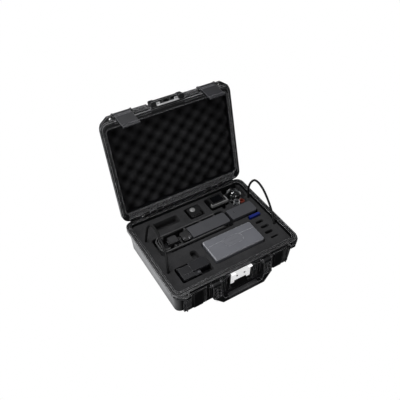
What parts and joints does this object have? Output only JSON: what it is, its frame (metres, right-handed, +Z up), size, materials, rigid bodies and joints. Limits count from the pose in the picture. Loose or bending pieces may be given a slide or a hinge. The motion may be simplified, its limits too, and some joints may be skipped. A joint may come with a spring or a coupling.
{
  "type": "drone transport case",
  "caption": "Hinged hard case with latches and handle, a lift-out foam tray, and a folded camera drone with its controller, charger and accessories.",
  "frame": {"origin": "centre of the base's footprint, on the floor", "axes": "X along the front, Y from front to back, Z up"},
  "size_m": [0.4, 0.4381, 0.4008],
  "materials": {
    "case_plastic": "fine moulded texture",
    "handle_plastic": "satin",
    "grip_rubber": "matte",
    "gasket_rubber": "matte",
    "foam": "open-cell foam",
    "cord": "braided",
    "bright_steel": "polished",
    "pin_steel": "satin",
    "drone_plastic": "matte",
    "drone_trim": "satin",
    "battery_plastic": "satin",
    "eye_metal": "satin",
    "lens_glass": "gloss",
    "controller_plastic": "satin",
    "badge_plastic": "satin",
    "charger_plastic": "matte",
    "camera_plastic": "matte",
    "frame_metal": "satin",
    "clear_plastic": "clear",
    "blue_plastic": "gloss",
    "red_rubber": "satin"
  },
  "bodies": {
    "base": {"base_shell": "case_plastic", "rim_gasket": "gasket_rubber", "lower_foam": "foam", "hinge_rods": "pin_steel", "base_padlock_plate": "bright_steel", "plate_rivets": "pin_steel", "handle_pins": "pin_steel"},
    "lid": {"lid_shell": "case_plastic", "lid_foam": "foam", "lid_padlock_plate": "bright_steel"},
    "latch_pin_left": {"latch_pin_left": "pin_steel"},
    "latch_pin_right": {"latch_pin_right": "pin_steel"},
    "latch_left": {"latch_left": "handle_plastic"},
    "latch_right": {"latch_right": "handle_plastic"},
    "handle": {"handle_frame": "handle_plastic", "handle_grip": "grip_rubber"},
    "tray": {"foam_tray": "foam", "lift_cords": "cord"},
    "drone": {"drone_hull": "drone_plastic", "drone_guard": "drone_trim", "drone_eyes": "eye_metal"},
    "drone_battery": {"drone_battery": "battery_plastic"},
    "gimbal_yoke": {"gimbal_yoke": "drone_plastic"},
    "gimbal_camera": {"gimbal_camera": "drone_trim", "camera_lens": "lens_glass"},
    "spare_battery": {"spare_battery": "battery_plastic"},
    "controller": {"controller_lower": "controller_plastic", "controller_upper": "controller_plastic", "controller_badge": "badge_plastic"},
    "charger": {"charger_body": "charger_plastic", "charger_lid": "charger_plastic", "charger_plug": "badge_plastic"},
    "cube_camera": {"cube_camera": "camera_plastic", "cube_camera_lens": "eye_metal"},
    "action_camera": {"action_camera": "camera_plastic", "action_camera_frame": "frame_metal", "action_camera_screen": "lens_glass"},
    "dome": {"clear_dome": "clear_plastic", "dome_base": "camera_plastic"},
    "lens_cover": {"lens_cover": "clear_plastic"},
    "sealing_ring": {"sealing_ring": "red_rubber"},
    "memory_stick": {"memory_stick": "blue_plastic", "memory_stick_cap": "blue_plastic"}
  },
  "joints": [
    {"name": "lid_hinge", "type": "hinge", "parent": "base", "child": "lid", "pos_m": [0, 0.1506, 0.0941], "axis": [-1, 0, 0], "range_deg": [-106, 0], "deforming": ["lift_cords"]},
    {"name": "latch_lean_left", "type": "hinge", "parent": "latch_pin_left", "child": "latch_left", "pos_m": [-0.13, 0.24271, 0.39028], "axis": [-1, 0, 0], "range_deg": [0, 21.01]},
    {"name": "latch_lean_right", "type": "hinge", "parent": "latch_pin_right", "child": "latch_right", "pos_m": [0.13, 0.24271, 0.39028], "axis": [-1, 0, 0], "range_deg": [0, 21.01]},
    {"name": "latch_swing_left", "type": "hinge", "parent": "lid", "child": "latch_pin_left", "pos_m": [-0.13, 0.24271, 0.39028], "axis": [-1, 0, 0], "range_deg": [0, 110]},
    {"name": "latch_swing_right", "type": "hinge", "parent": "lid", "child": "latch_pin_right", "pos_m": [0.13, 0.24271, 0.39028], "axis": [-1, 0, 0], "range_deg": [0, 110]},
    {"name": "handle_pivot", "type": "hinge", "parent": "base", "child": "handle", "pos_m": [0, -0.1562, 0.074], "axis": [-1, 0, 0], "range_deg": [-9, 88]},
    {"name": "tray_lift", "type": "slide", "parent": "base", "child": "tray", "axis": [0, 0, 1], "range_m": [0, 0.09]},
    {"name": "drone_lift", "type": "slide", "parent": "tray", "child": "drone", "axis": [0, 0, 1], "range_m": [0, 0.08]},
    {"name": "battery_release", "type": "slide", "parent": "drone", "child": "drone_battery", "axis": [0, 0, 1], "range_m": [0, 0.03]},
    {"name": "gimbal_roll", "type": "hinge", "parent": "drone", "child": "gimbal_yoke", "pos_m": [-0.085, 0.029, 0.074], "axis": [1, 0, 0], "range_deg": [-20, 20]},
    {"name": "gimbal_pitch", "type": "hinge", "parent": "gimbal_yoke", "child": "gimbal_camera", "pos_m": [-0.106, 0.01, 0.074], "axis": [0, 1, 0], "range_deg": [-20, 20]},
    {"name": "spare_battery_lift", "type": "slide", "parent": "tray", "child": "spare_battery", "axis": [0, 0, 1], "range_m": [0, 0.06]},
    {"name": "controller_lift", "type": "slide", "parent": "tray", "child": "controller", "axis": [0, 0, 1], "range_m": [0, 0.06]},
    {"name": "charger_lift", "type": "slide", "parent": "tray", "child": "charger", "axis": [0, 0, 1], "range_m": [0, 0.05]},
    {"name": "cube_camera_lift", "type": "slide", "parent": "tray", "child": "cube_camera", "axis": [0, 0, 1], "range_m": [0, 0.05]},
    {"name": "action_camera_lift", "type": "slide", "parent": "tray", "child": "action_camera", "axis": [0, 0, 1], "range_m": [0, 0.05]},
    {"name": "dome_lift", "type": "slide", "parent": "tray", "child": "dome", "axis": [0, 0, 1], "range_m": [0, 0.04]},
    {"name": "lens_cover_lift", "type": "slide", "parent": "tray", "child": "lens_cover", "axis": [0, 0, 1], "range_m": [0, 0.03]},
    {"name": "sealing_ring_lift", "type": "slide", "parent": "tray", "child": "sealing_ring", "axis": [0, 0, 1], "range_m": [0, 0.03]},
    {"name": "memory_stick_lift", "type": "slide", "parent": "tray", "child": "memory_stick", "axis": [0, 0, 1], "range_m": [0, 0.04]}
  ],
  "couplings": [
    {"joint": "latch_lean_left", "follows": "lid_hinge", "ratio": -0.19811},
    {"joint": "latch_lean_right", "follows": "lid_hinge", "ratio": -0.19811}
  ]
}
